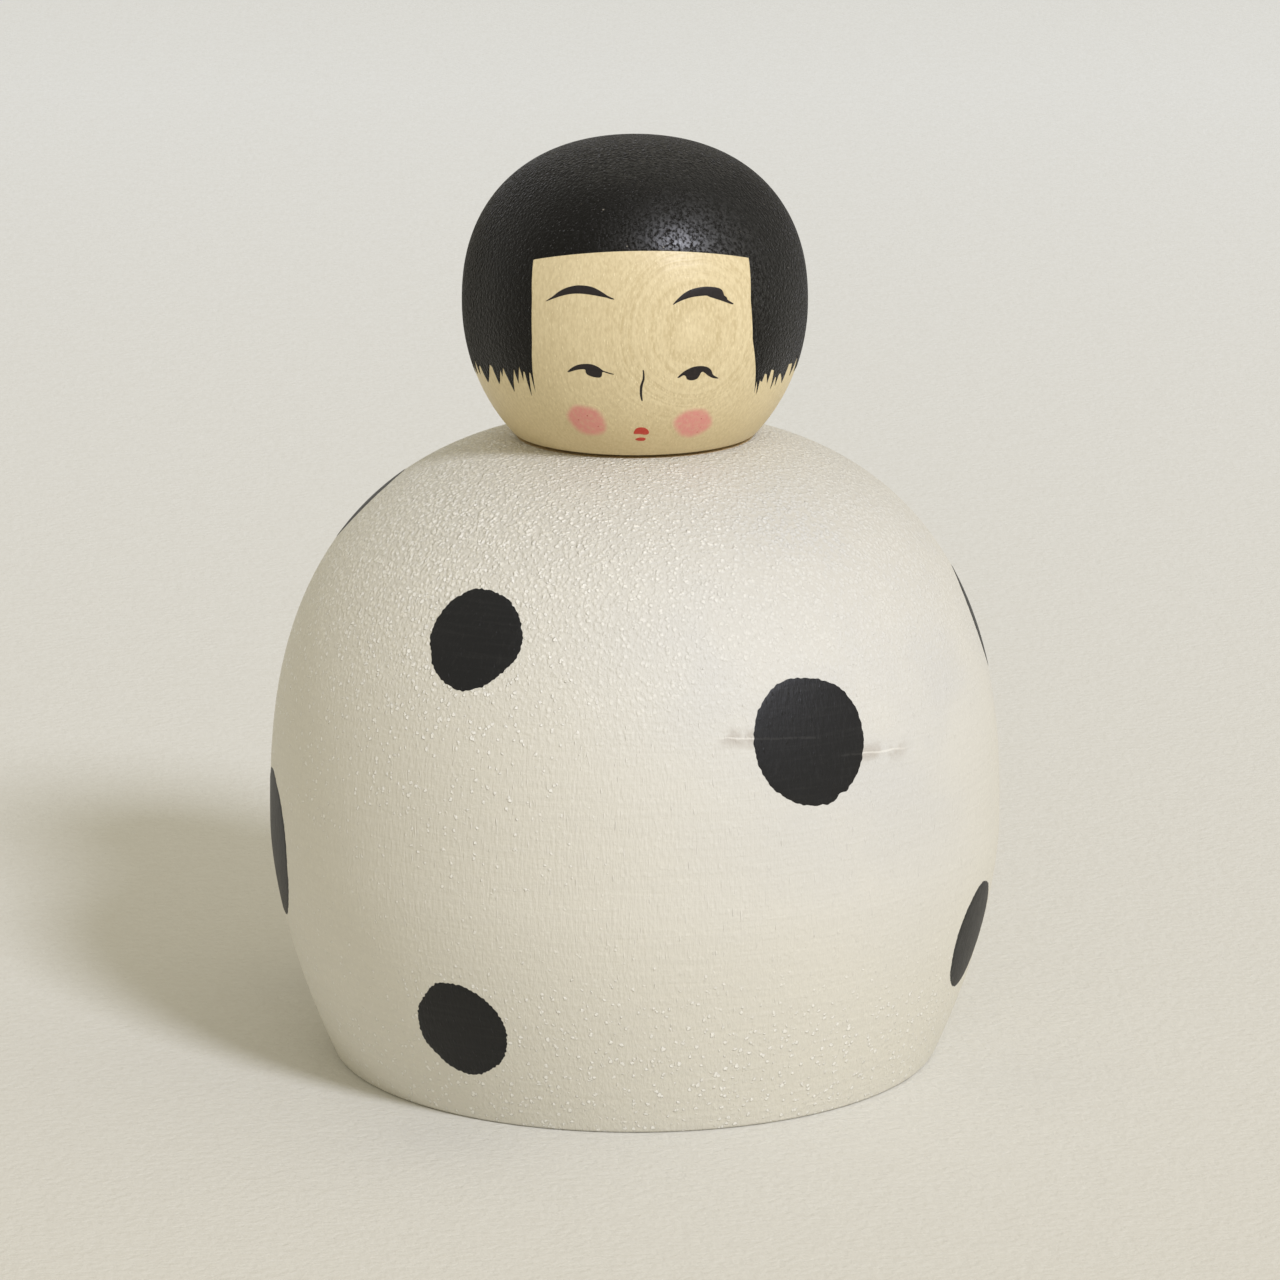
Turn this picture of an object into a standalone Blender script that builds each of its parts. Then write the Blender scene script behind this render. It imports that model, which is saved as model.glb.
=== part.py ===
"""Kokeshi doll: a turned wooden body, a turned wooden head and the neck peg that joins them.

The frame is +Z up, in metres, with the origin at the centre of the flat base. The face looks along -Y.
Every piece is turned on the one upright axis. The head and its peg turn together in the body's socket.
"""

import math

import bpy
from mathutils import Vector

MM = 0.001

# Body
BASE_RADIUS = 29.7 * MM
BODY_RADIUS = 35.7 * MM
BODY_WIDEST_HEIGHT = 23.0 * MM
BODY_HEIGHT = 61.2 * MM
SEAT_RADIUS = 11.5 * MM
BASE_EDGE_ROUND = 0.5 * MM
FLANK_EXPONENT = 1.7
DOME_EXPONENT = 2.55

# Head
HEAD_RADIUS = 16.6 * MM
HEAD_BASE_RADIUS = 11.7 * MM
CHIN_DROP = 12.7 * MM
CROWN_RISE = 15.8 * MM
HEAD_BASE_ROUND = 0.6 * MM
CHIN_EXPONENT = 2.0
CROWN_EXPONENT = 2.27

# Neck joint
PEG_RADIUS = 4.5 * MM
PEG_IN_HEAD = 11.0 * MM
PEG_IN_BODY = 15.0 * MM
PEG_END_CHAMFER = 0.6 * MM
BEAD_PROUD = 0.8 * MM
BEAD_LENGTH = 3.2 * MM
BEAD_FROM_END = 2.0 * MM
FIT_GAP = 0.3 * MM
BORE_END_GAP = 0.6 * MM

# Hair paint: a bob with a straight fringe and a square window for the face, measured from the head's base
FRINGE_HEIGHT = 19.5 * MM
LOCK_HEIGHT = 6.5 * MM
FACE_HALF_ANGLE = math.radians(39.0)

# Mesh fineness
TURN_STEPS = 64
FLANK_POINTS = 8
DOME_POINTS = 16
CROWN_POINTS = 14
CHIN_POINTS = 10
BEAD_POINTS = 6
ROUND_POINTS = 4
SHARP_ANGLE = math.radians(35.0)
MERGE_DISTANCE = 0.00001

# Heights that follow from the sizes above
HEAD_BASE_Z = BODY_HEIGHT + FIT_GAP
HEAD_WIDEST_Z = HEAD_BASE_Z + CHIN_DROP
PEG_TOP_Z = HEAD_BASE_Z + PEG_IN_HEAD
PEG_BOTTOM_Z = BODY_HEIGHT - PEG_IN_BODY
BEAD_TOP_Z = PEG_BOTTOM_Z + BEAD_FROM_END + BEAD_LENGTH

# Colours
PAINT_WHITE = (0.80, 0.77, 0.68, 1.0)
WOOD_PALE = (0.76, 0.62, 0.38, 1.0)
WOOD_PEG = (0.66, 0.50, 0.30, 1.0)
HAIR_BLACK = (0.012, 0.012, 0.013, 1.0)


def clear_scene():
    for obj in list(bpy.data.objects):
        bpy.data.objects.remove(obj)


def new_collection(name):
    collection = bpy.data.collections.new(name)
    bpy.context.scene.collection.children.link(collection)
    return collection


def new_material(name, colour, roughness):
    material = bpy.data.materials.new(name)
    material.use_nodes = True
    material.diffuse_color = colour
    shader = material.node_tree.nodes["Principled BSDF"]
    shader.inputs["Base Color"].default_value = colour
    shader.inputs["Roughness"].default_value = roughness
    return material


def shares(count):
    """Even shares from 0 to 1, both ends included."""
    return [i / count for i in range(count + 1)]


def cut_angle(cut_radius, radius, exponent):
    """Angle on a superellipse's quarter at which it has narrowed to the cut's radius."""
    return math.acos((cut_radius / radius) ** (exponent / 2))


def swelling(radius, height, exponent, start, end, count):
    """Radius and rise of points on a superellipse's quarter, from one angle to another."""
    points = []
    for share in shares(count):
        angle = start + (end - start) * share
        across = radius * max(0.0, math.cos(angle)) ** (2 / exponent)
        rise = height * math.sin(angle) ** (2 / exponent)
        points.append((across, rise))
    return points


def half_height(drop, angle, exponent):
    """Half height of the superellipse whose cut at an angle lies at a given distance from its widest."""
    return drop / math.sin(angle) ** (2 / exponent)


def rounded(before, corner, after, radius):
    """Arc that rounds the corner between two straight stretches of a profile."""
    to_before = (Vector(before) - Vector(corner)).normalized()
    to_after = (Vector(after) - Vector(corner)).normalized()
    half = to_before.angle(to_after) / 2
    start = Vector(corner) + to_before * radius / math.tan(half)
    end = Vector(corner) + to_after * radius / math.tan(half)
    centre = Vector(corner) + (to_before + to_after).normalized() * radius / math.sin(half)
    arc = []
    for share in shares(ROUND_POINTS):
        spoke = start.lerp(end, share) - centre
        arc.append(tuple(centre + spoke.normalized() * radius))
    return arc


def bead_outline(gap):
    """The peg's swelling from top to bottom, grown by a gap for the groove that it turns in."""
    outline = []
    for share in shares(BEAD_POINTS):
        z = BEAD_TOP_Z + gap - share * (BEAD_LENGTH + 2 * gap)
        outline.append((PEG_RADIUS + gap + BEAD_PROUD * math.sin(math.pi * share), z))
    return outline


def body_profile():
    """From the socket's floor up its wall, over the seat, then down the dome and the flank to the base."""
    bore = PEG_RADIUS + FIT_GAP
    floor_z = PEG_BOTTOM_Z - BORE_END_GAP
    points = [(0.0, floor_z), (bore, floor_z)]
    points += bead_outline(FIT_GAP)[::-1]
    points.append((bore, BODY_HEIGHT))

    seat_angle = cut_angle(SEAT_RADIUS, BODY_RADIUS, DOME_EXPONENT)
    dome_height = half_height(BODY_HEIGHT - BODY_WIDEST_HEIGHT, seat_angle, DOME_EXPONENT)
    for across, rise in swelling(BODY_RADIUS, dome_height, DOME_EXPONENT, seat_angle, 0.0, DOME_POINTS):
        points.append((across, BODY_WIDEST_HEIGHT + rise))

    for share in shares(FLANK_POINTS)[1:-1]:
        tuck = (BODY_RADIUS - BASE_RADIUS) * share**FLANK_EXPONENT
        points.append((BODY_RADIUS - tuck, BODY_WIDEST_HEIGHT * (1.0 - share)))
    points += rounded(points[-1], (BASE_RADIUS, 0.0), (0.0, 0.0), BASE_EDGE_ROUND)
    points.append((0.0, 0.0))
    return points


def head_profile():
    """From the crown down the cheek to the flat base, then up the peg's bore."""
    points = []
    for across, rise in swelling(HEAD_RADIUS, CROWN_RISE, CROWN_EXPONENT, math.pi / 2, 0.0, CROWN_POINTS):
        points.append((across, HEAD_WIDEST_Z + rise))
    points[0] = (0.0, HEAD_WIDEST_Z + CROWN_RISE)

    base_angle = cut_angle(HEAD_BASE_RADIUS, HEAD_RADIUS, CHIN_EXPONENT)
    chin_height = half_height(CHIN_DROP, base_angle, CHIN_EXPONENT)
    chin = swelling(HEAD_RADIUS, chin_height, CHIN_EXPONENT, 0.0, base_angle, CHIN_POINTS)
    for across, drop in chin[1:-1]:
        points.append((across, HEAD_WIDEST_Z - drop))
    base_corner = (HEAD_BASE_RADIUS, HEAD_BASE_Z)
    points += rounded(points[-1], base_corner, (0.0, HEAD_BASE_Z), HEAD_BASE_ROUND)

    bore = PEG_RADIUS + FIT_GAP
    bore_end_z = PEG_TOP_Z + BORE_END_GAP
    points += [(bore, HEAD_BASE_Z), (bore, bore_end_z), (0.0, bore_end_z)]
    return points


def peg_profile():
    """From the end that is glued in the head down to the end that turns in the body."""
    end_radius = PEG_RADIUS - PEG_END_CHAMFER
    points = [(0.0, PEG_TOP_Z), (end_radius, PEG_TOP_Z), (PEG_RADIUS, PEG_TOP_Z - PEG_END_CHAMFER)]
    points += bead_outline(0.0)
    points.append((PEG_RADIUS, PEG_BOTTOM_Z + PEG_END_CHAMFER))
    points += [(end_radius, PEG_BOTTOM_Z), (0.0, PEG_BOTTOM_Z)]
    return points


def turned(name, profile, origin_z, material, collection):
    """A solid of revolution about the upright axis, with its origin on that axis."""
    mesh = bpy.data.meshes.new(name)
    corners = [(radius, 0.0, z - origin_z) for radius, z in profile]
    chain = [(i, i + 1) for i in range(len(corners) - 1)]
    mesh.from_pydata(corners, chain, [])
    mesh.materials.append(material)
    obj = bpy.data.objects.new(name, mesh)
    obj.location = (0.0, 0.0, origin_z)
    collection.objects.link(obj)
    screw = obj.modifiers.new("Turn", "SCREW")
    screw.steps = TURN_STEPS
    screw.render_steps = TURN_STEPS
    screw.use_merge_vertices = True
    screw.merge_threshold = MERGE_DISTANCE
    return obj


def settle(obj):
    """Makes the turned shape a plain mesh, smooth on its curves and sharp on its edges."""
    graph = bpy.context.evaluated_depsgraph_get()
    mesh = bpy.data.meshes.new_from_object(obj.evaluated_get(graph))
    obj.modifiers.clear()
    obj.data = mesh
    mesh.shade_smooth()
    mesh.set_sharp_from_angle(angle=SHARP_ANGLE)


def paint_hair(head, material):
    """Gives the hair's colour to the outer faces above the lock ends, round the window for the face."""
    head.data.materials.append(material)
    outside = HEAD_BASE_RADIUS / 2
    for face in head.data.polygons:
        centre = face.center
        from_face = abs(math.atan2(centre.x, -centre.y))
        above_fringe = centre.z > FRINGE_HEIGHT
        beside_face = from_face > FACE_HALF_ANGLE and centre.z > LOCK_HEIGHT
        if above_fringe or (beside_face and centre.xy.length > outside):
            face.material_index = 1


def joint_axis(name, z, collection):
    axis = bpy.data.objects.new(name, None)
    axis.empty_display_type = "SINGLE_ARROW"
    axis.empty_display_size = HEAD_RADIUS
    axis.location = (0.0, 0.0, z)
    collection.objects.link(axis)
    return axis


def ride_on(axis, piece):
    """Hangs a piece on a joint's axis without moving it."""
    piece.location = piece.location - axis.location
    piece.parent = axis


def main():
    clear_scene()
    doll = new_collection("kokeshi_doll")
    white = new_material("white_paint", PAINT_WHITE, 0.5)
    pale = new_material("pale_wood", WOOD_PALE, 0.45)
    brown = new_material("peg_wood", WOOD_PEG, 0.7)
    black = new_material("hair_paint", HAIR_BLACK, 0.45)

    body = turned("body", body_profile(), 0.0, white, doll)
    head = turned("head", head_profile(), HEAD_BASE_Z, pale, doll)
    peg = turned("neck_peg", peg_profile(), HEAD_BASE_Z, brown, doll)
    for piece in (body, head, peg):
        settle(piece)
    paint_hair(head, black)

    neck = joint_axis("head_turn_axis", HEAD_BASE_Z, doll)
    for piece in (head, peg):
        ride_on(neck, piece)


main()
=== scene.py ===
import math
import random

import bmesh
import bpy
import numpy as np
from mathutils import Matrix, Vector
from mathutils.geometry import delaunay_2d_cdt


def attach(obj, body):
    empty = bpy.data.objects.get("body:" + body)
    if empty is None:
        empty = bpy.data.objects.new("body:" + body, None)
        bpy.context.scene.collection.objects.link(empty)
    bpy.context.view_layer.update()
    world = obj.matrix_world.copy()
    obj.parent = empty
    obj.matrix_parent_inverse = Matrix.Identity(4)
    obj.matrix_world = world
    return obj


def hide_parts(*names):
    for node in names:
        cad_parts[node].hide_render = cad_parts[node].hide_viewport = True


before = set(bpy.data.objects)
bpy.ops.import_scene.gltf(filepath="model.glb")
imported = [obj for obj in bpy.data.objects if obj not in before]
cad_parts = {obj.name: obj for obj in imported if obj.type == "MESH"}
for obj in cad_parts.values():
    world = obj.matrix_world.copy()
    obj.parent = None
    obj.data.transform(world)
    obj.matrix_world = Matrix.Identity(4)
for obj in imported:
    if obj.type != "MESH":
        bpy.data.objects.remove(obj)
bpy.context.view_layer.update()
mm = 0.001  # shapes below are written in millimetres
print("frame loaded:", ", ".join(sorted(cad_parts)))


# camera: the doll stands a little left of the picture's middle, seen from above and from its own right
cameraPlan = {
    "azimuth": -2.7,
    "away": 589.1,
    "height": 187.7,
    "aimHeight": 40.57,
    "sideways": 0.49,
    "lens": 175.2,
}


def placeCamera(plan):
    swing = math.radians(plan["azimuth"])
    right = Vector((math.cos(swing), math.sin(swing), 0.0))
    front = Vector((math.sin(swing), -math.cos(swing), 0.0))
    eye = front * plan["away"] + right * plan["sideways"] + Vector((0, 0, plan["height"]))
    aim = right * plan["sideways"] + Vector((0, 0, plan["aimHeight"]))
    data = bpy.data.cameras.new("camera")
    data.lens = plan["lens"]
    data.sensor_width = 36.0
    data.clip_start = 0.02
    camera = bpy.data.objects.new("camera", data)
    camera.location = eye * mm
    camera.rotation_euler = (aim - eye).to_track_quat("-Z", "Y").to_euler()
    bpy.context.scene.collection.objects.link(camera)
    bpy.context.scene.camera = camera


placeCamera(cameraPlan)
bpy.context.scene.view_settings.view_transform = "Standard"
print("camera placed")


# outlines of the two turned pieces, in millimetres from the base of the doll
bodyShape = {
    "baseRadius": 29.7,
    "widestRadius": 35.7,
    "widestHeight": 23.0,
    "topHeight": 61.2,
    "seatRadius": 11.5,
    "flankPower": 1.7,
    "domePower": 2.55,
    "baseEdge": 0.5,
    "socketRadius": 4.8,
    "socketFloor": 45.6,
    "grooveLow": 47.9,
    "grooveHigh": 51.7,
    "grooveDepth": 0.8,
    "flankRows": 40,
    "domeRows": 90,
    "grooveRows": 12,
    "around": 288,
}
headShape = {
    "radius": 16.6,
    "baseRadius": 11.7,
    "baseHeight": 61.5,
    "widestHeight": 74.2,
    "topHeight": 90.0,
    "crownPower": 2.27,
    "baseEdge": 0.6,
    "boreRadius": 4.8,
    "boreEnd": 73.1,
    "chinRows": 50,
    "crownRows": 90,
    "around": 240,
}
edgeRows = 5  # steps round a softened corner


def roundCorner(before, corner, after, radius):
    b, c, a = Vector(before), Vector(corner), Vector(after)
    u, v = (b - c).normalized(), (a - c).normalized()
    half = u.angle(v) / 2
    start, end = c + u * radius / math.tan(half), c + v * radius / math.tan(half)
    centre = c + (u + v).normalized() * radius / math.sin(half)
    spokes = [start.lerp(end, i / edgeRows) - centre for i in range(edgeRows + 1)]
    return [tuple(centre + spoke.normalized() * radius) for spoke in spokes]


def bodyMeridian(shape):  # outer line of the body, base to seat
    tuck = shape["widestRadius"] - shape["baseRadius"]
    flank = []
    for i in range(1, shape["flankRows"] + 1):
        share = 1.0 - i / shape["flankRows"]
        across = shape["widestRadius"] - tuck * share ** shape["flankPower"]
        flank.append((across, shape["widestHeight"] * (1.0 - share)))
    power = shape["domePower"]
    seatAngle = math.acos((shape["seatRadius"] / shape["widestRadius"]) ** (power / 2))
    rise = (shape["topHeight"] - shape["widestHeight"]) / math.sin(seatAngle) ** (2 / power)
    dome = []
    for i in range(1, shape["domeRows"] + 1):
        angle = seatAngle * i / shape["domeRows"]
        across = shape["widestRadius"] * math.cos(angle) ** (2 / power)
        dome.append((across, shape["widestHeight"] + rise * math.sin(angle) ** (2 / power)))
    edge = roundCorner((0, 0), (shape["baseRadius"], 0), flank[1], shape["baseEdge"])
    return edge + flank[1:] + dome


def headMeridian(shape):  # outer line of the head, base to crown
    drop = shape["widestHeight"] - shape["baseHeight"]
    baseAngle = math.acos(shape["baseRadius"] / shape["radius"])
    chinDepth = drop / math.sin(baseAngle)
    chin = []
    for i in range(1, shape["chinRows"] + 1):
        angle = baseAngle * (1.0 - i / shape["chinRows"])
        chin.append((shape["radius"] * math.cos(angle), shape["widestHeight"] - chinDepth * math.sin(angle)))
    power, rise = shape["crownPower"], shape["topHeight"] - shape["widestHeight"]
    crown = []
    for i in range(1, shape["crownRows"] + 1):
        angle = math.pi / 2 * i / shape["crownRows"]
        across = shape["radius"] * max(0.0, math.cos(angle)) ** (2 / power)
        crown.append((across, shape["widestHeight"] + rise * math.sin(angle) ** (2 / power)))
    crown[-1] = (0.0, shape["topHeight"])
    corner = (shape["baseRadius"], shape["baseHeight"])
    edge = roundCorner((0, shape["baseHeight"]), corner, chin[1], shape["baseEdge"])
    return edge + chin[1:] + crown


def measureLine(points):  # lengths along a meridian and its outward normal
    r, z = np.array(points).T
    s = np.concatenate([[0.0], np.cumsum(np.hypot(np.diff(r), np.diff(z)))])
    fine = np.linspace(0.0, s[-1], 1600)
    r, z = np.interp(fine, s, r), np.interp(fine, s, z)
    dr, dz = np.gradient(r, fine), np.gradient(z, fine)
    size = np.hypot(dr, dz)
    return {"r": r, "z": z, "s": fine, "nr": dz / size, "nz": -dr / size}


def along(line, height):  # length along the meridian at a height
    return float(np.interp(height, line["z"], line["s"]))


def radiusAt(line, s):
    return float(np.interp(s, line["s"], line["r"]))


def spot(line, angle, s, lift):  # point on a turned piece; angle in radians from the face towards +X
    r = np.interp(s, line["s"], line["r"]) + lift * np.interp(s, line["s"], line["nr"])
    z = np.interp(s, line["s"], line["z"]) + lift * np.interp(s, line["s"], line["nz"])
    return (float(r * math.sin(angle)), float(-r * math.cos(angle)), float(z))


def newPiece(name, points, faces, sharp=40.0):
    mesh = bpy.data.meshes.new(name)
    mesh.from_pydata([tuple(c * mm for c in p) for p in points], [], faces)
    mesh.validate()
    work = bmesh.new()
    work.from_mesh(mesh)
    bmesh.ops.recalc_face_normals(work, faces=work.faces)
    work.to_mesh(mesh)
    work.free()
    mesh.shade_smooth()
    mesh.set_sharp_from_angle(angle=math.radians(sharp))
    piece = bpy.data.objects.new(name, mesh)
    bpy.context.scene.collection.objects.link(piece)
    return piece


def turnPiece(name, outline, around):  # solid of revolution from an outline that starts and ends on the axis
    points, rings = [], []
    turns = np.linspace(0, 2 * math.pi, around + 1)[:-1]
    for r, z in outline:
        if r < 1e-6:
            rings.append([len(points)] * around)
            points.append((0.0, 0.0, z))
        else:
            rings.append([len(points) + i for i in range(around)])
            points += [(r * math.sin(t), -r * math.cos(t), z) for t in turns]
    faces = []
    for low, high in zip(rings, rings[1:]):
        for i in range(around):
            j = (i + 1) % around
            corners = [low[i], low[j], high[j], high[i]]
            faces.append(list(dict.fromkeys(corners)))
    return newPiece(name, points, faces)


bodyLine = measureLine(bodyMeridian(bodyShape))
headLine = measureLine(headMeridian(headShape))


def makeBody(shape):
    wall, floor = shape["socketRadius"], shape["socketFloor"]
    low, high = shape["grooveLow"], shape["grooveHigh"]
    groove = []
    for i in range(shape["grooveRows"] + 1):
        share = i / shape["grooveRows"]
        across = wall + shape["grooveDepth"] * math.sin(math.pi * share)
        groove.append((across, high + (low - high) * share))
    under = [(0.0, 0.0)] + [(r, 0.0) for r in np.linspace(2.0, shape["baseRadius"] - 1.2, 15)]
    top = [(r, shape["topHeight"]) for r in (10.0, 8.0, 6.5, wall)]
    outline = under + bodyMeridian(shape) + top + groove + [(wall, floor), (0.0, floor)]
    return turnPiece("painted_body", outline, shape["around"])


def makeHead(shape):
    bore, end = shape["boreRadius"], shape["boreEnd"]
    under = [(0.0, end), (bore, end)] + [(bore, z) for z in np.linspace(end - 1.0, shape["baseHeight"], 8)]
    under += [(r, shape["baseHeight"]) for r in np.linspace(bore + 1.0, shape["baseRadius"] - 1.0, 5)]
    return turnPiece("bare_head", under + headMeridian(shape), shape["around"])


body = makeBody(bodyShape)
head = makeHead(headShape)
print("turned pieces:", len(body.data.polygons), len(head.data.polygons), "faces")


# coats of paint: thin closed films that lie on the wood and bed a little into it
coat = {"thick": 0.045, "rim": 0.012, "bed": 0.09, "edge": 0.16}


def shell(name, outer, inner, faces, rim=None):
    count = len(outer)
    walls, used = [], set()
    for face in faces:
        for a, b in zip(face, face[1:] + face[:1]):
            used.add((a, b))
    for a, b in sorted(used):
        if (b, a) not in used:
            walls.append([b, a, a + count, b + count])
    under = [[i + count for i in reversed(face)] for face in faces]
    piece = newPiece(name, outer + inner, faces + under + walls, sharp=60.0)
    if rim is not None:  # millimetres in from the film's edge, for soft paint
        layer = piece.data.attributes.new("rimDistance", "FLOAT", "POINT")
        layer.data.foreach_set("value", list(rim) * 2)
    return piece


def edgeDistance(points, outline):
    points, a = np.array(points), np.array(outline)
    b = np.roll(a, -1, axis=0)
    best = np.full(len(points), 1e9)
    for p, q in zip(a, b):
        d = q - p
        t = np.clip(((points - p) @ d) / max(d @ d, 1e-12), 0, 1)
        best = np.minimum(best, np.hypot(*(points - p - t[:, None] * d).T))
    return best


def insideOutline(points, outline):
    x, y = np.array(points).T
    inside = np.zeros(len(x), bool)
    a = np.array(outline)
    for (x0, y0), (x1, y1) in zip(a, np.roll(a, -1, axis=0)):
        if y0 == y1:
            continue
        cross = ((y0 > y) != (y1 > y)) & (x < (x1 - x0) * (y - y0) / (y1 - y0) + x0)
        inside ^= cross
    return inside


def curvePoint(p0, p1, p2, p3, t):  # smooth curve from p1 to p2
    bend = (2 * p0 - 5 * p1 + 4 * p2 - p3) * t**2
    return 0.5 * (2 * p1 + (p2 - p0) * t + bend + (3 * p1 - p0 - 3 * p2 + p3) * t**3)


def smoothLoop(points, between):  # closed curve through a ring of points
    loop, count = [], len(points)
    for i in range(count):
        near = [np.array(points[(i + k) % count], float) for k in (-1, 0, 1, 2)]
        loop += [tuple(curvePoint(*near, k / between)) for k in range(between)]
    return loop


def brushLine(points, between):  # outline of one stroke from (across, up, width) points
    stations = []
    ends = [points[0]] + list(points) + [points[-1]]
    for i in range(len(points) - 1):
        near = [np.array(ends[i + k], float) for k in range(4)]
        stations += [curvePoint(*near, k / between) for k in range(between)]
    stations = np.array(stations + [np.array(points[-1], float)])
    way = np.gradient(stations[:, :2], axis=0)
    way /= np.hypot(*way.T)[:, None]
    side = np.stack([-way[:, 1], way[:, 0]], 1) * stations[:, 2:3] / 2
    left, right = stations[:, :2] + side, stations[:, :2] - side
    return [tuple(p) for p in right] + [tuple(p) for p in left[::-1]]


# fills an outline with fine triangles and lays it on the wood
def layFilm(name, line, outline, toSpot, pitch, thick):
    outline = [tuple(p) for p in outline]
    low, high = np.min(outline, axis=0), np.max(outline, axis=0)
    rowStep = pitch * 0.866  # rows of even triangles
    grid = []
    for j in range(int((high[1] - low[1]) / rowStep) + 2):
        for i in range(int((high[0] - low[0]) / pitch) + 2):
            grid.append((low[0] + (i + 0.5 * (j % 2)) * pitch, low[1] + j * rowStep))
    keep = insideOutline(grid, outline) & (edgeDistance(grid, outline) > pitch * 0.45)  # clear of the edge
    inner = [p for p, k in zip(grid, keep) if k]
    flat = [Vector(p) for p in outline + inner]
    verts, _, faces, _, _, _ = delaunay_2d_cdt(flat, [], [list(range(len(outline)))], 1, 1e-7)
    flat = [(v.x, v.y) for v in verts]
    rim = edgeDistance(flat, outline)
    lift = coat["rim"] + (thick - coat["rim"]) * np.clip(rim / coat["edge"], 0, 1) ** 0.5
    outer = [spot(line, *toSpot(p), float(h)) for p, h in zip(flat, lift)]
    bed = [spot(line, *toSpot(p), -coat["bed"]) for p in flat]
    return shell(name, outer, bed, [list(f) for f in faces], rim)


# hair: a bob with a straight fringe, brushed down into fine tips
hair = {
    "fringeTop": 20.35,
    "fringeBow": 0.00082,
    "leftEdge": [(5.0, -39.9), (6.25, -39.9), (8.56, -39.4), (11.55, -38.4), (15.35, -38.6), (19.0, -40.2)],
    "rightEdge": [(5.0, 44.9), (5.8, 44.9), (8.25, 42.6), (11.3, 39.5), (15.2, 38.7), (19.0, 40.5)],
    "rightTips": [
        (44.9, 5.8), (45.6, 7.1), (46.3, 5.65), (47.0, 7.05), (48.2, 6.8), (49.2, 7.6), (50.2, 7.5),
        (51.3, 6.5), (52.4, 7.85), (54.0, 7.7), (54.6, 5.75), (55.7, 6.9), (56.4, 6.9), (57.3, 5.95),
        (57.9, 7.0), (59.0, 7.15), (60.5, 6.75), (62.6, 5.95), (64.5, 7.75), (68.2, 7.65), (69.4, 6.3),
        (72.0, 7.4), (73.7, 8.1), (75.5, 6.4),
    ],
    "leftTips": [
        (-79.0, 6.2), (-76.0, 7.9), (-74.0, 6.5), (-72.4, 7.45), (-70.9, 7.48), (-68.0, 6.0), (-66.5, 6.3),
        (-64.5, 6.96), (-62.1, 8.1), (-60.6, 7.95), (-58.8, 6.3), (-57.6, 6.7), (-55.8, 7.85),
        (-55.2, 7.25), (-53.9, 8.2), (-52.4, 7.2), (-50.6, 5.9), (-49.7, 6.9), (-48.2, 8.3), (-47.2, 6.9),
        (-45.5, 8.7), (-44.5, 7.3), (-43.9, 8.25), (-43.3, 8.2), (-42.1, 5.8), (-41.4, 8.25), (-40.8, 8.15),
        (-39.9, 6.25),
    ],
    "backTips": (5.6, 7.0),
    "backNotches": (6.9, 8.5),
    "backStep": (0.7, 2.3),
    "streak": 0.003,
    "seed": 11,
    "sideRing": 19.0,
    "strandStep": 0.9,
    "fringeColumns": 72,
    "fringeEdge": 0.01,
    "crownRows": 44,
    "sideRows": 30,
    "softness": 10.0,
}


def tipLine(plan):  # (degrees, height) of each brush tip and notch, from the window's right round the back
    draw = random.Random(plan["seed"])
    line = list(plan["rightTips"])
    end = plan["leftTips"][0][0] + 360.0
    angle, tip = line[-1][0], True
    while True:
        angle += draw.uniform(*plan["backStep"])
        if angle > end - plan["backStep"][0]:
            break
        line.append((angle, draw.uniform(*(plan["backTips"] if tip else plan["backNotches"]))))
        tip = not tip
    if tip:
        line.pop()
    return line + [(a + 360.0, h) for a, h in plan["leftTips"]]


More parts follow.
